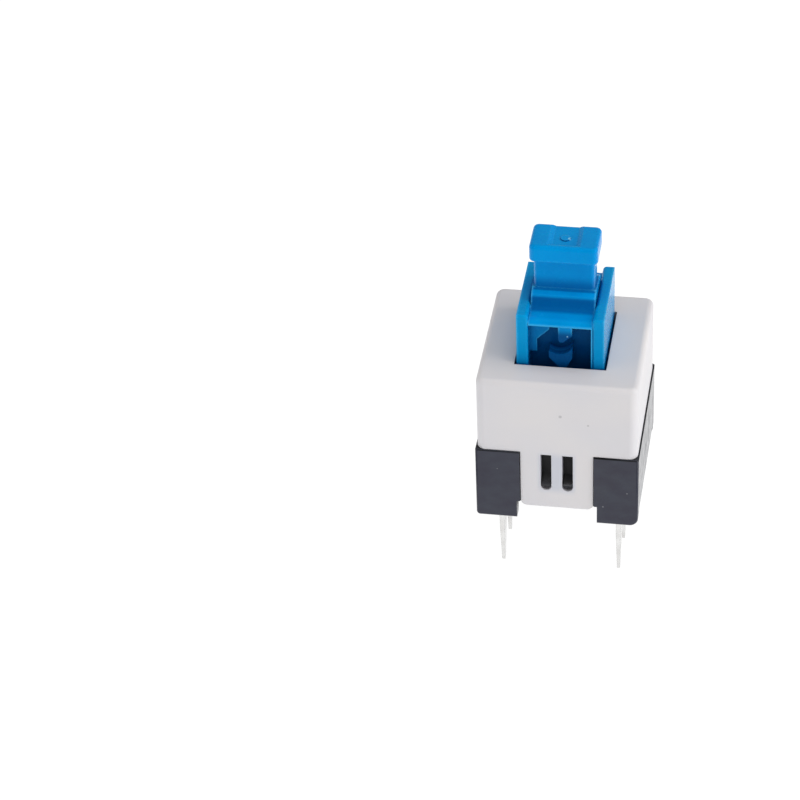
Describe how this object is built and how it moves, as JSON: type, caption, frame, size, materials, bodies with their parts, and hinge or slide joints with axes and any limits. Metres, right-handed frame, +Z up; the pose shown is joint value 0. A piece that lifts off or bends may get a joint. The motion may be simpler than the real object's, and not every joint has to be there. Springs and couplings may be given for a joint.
{
  "type": "push switch",
  "caption": "Square self-locking push switch: white cover, black base, blue plunger with a heart cam, and rows of flat through-hole pins.",
  "frame": {"origin": "middle of the board plane, under the four feet of the base and between the two pin rows", "axes": "+Z up along the plunger, +X across the two pin rows, -Y towards the cam window of the plunger"},
  "size_m": [0.0086, 0.0086, 0.0196],
  "materials": {
    "white_plastic": "smooth moulded, satin",
    "black_plastic": "smooth moulded, satin",
    "blue_plastic": "smooth moulded, soft gloss",
    "tinned_brass": "bright tin plating",
    "spring_wire": "drawn spring wire",
    "lock_wire": "bright drawn wire",
    "leaf_steel": "rolled spring strip",
    "contact_bronze": "rolled contact strip"
  },
  "bodies": {
    "housing": {"cover": "white_plastic", "base": "black_plastic", "lock_spring": "leaf_steel", "return_spring": "spring_wire", "terminal_left_front": "tinned_brass", "terminal_left_middle": "tinned_brass", "terminal_left_rear": "tinned_brass", "terminal_right_front": "tinned_brass", "terminal_right_middle": "tinned_brass", "terminal_right_rear": "tinned_brass"},
    "plunger_body": {"plunger": "blue_plastic", "contact_left": "contact_bronze", "contact_right": "contact_bronze"},
    "lock_pin_body": {"lock_pin": "lock_wire"}
  },
  "joints": [
    {"name": "plunger_slide", "type": "slide", "parent": "housing", "child": "plunger_body", "axis": [0, 0, -1], "range_m": [0, 0.0025], "stiffness_N_per_m": 300, "deforming": ["return_spring"]},
    {"name": "lock_pin_swing", "type": "hinge", "parent": "housing", "child": "lock_pin_body", "pos_m": [-0.0001, -0.00305, 0.0018], "axis": [0, 1, 0], "range_deg": [-3.35, 0]}
  ],
  "couplings": [
    {"joint": "lock_pin_swing", "follows": "plunger_slide", "rad_per_m": -23.226}
  ]
}
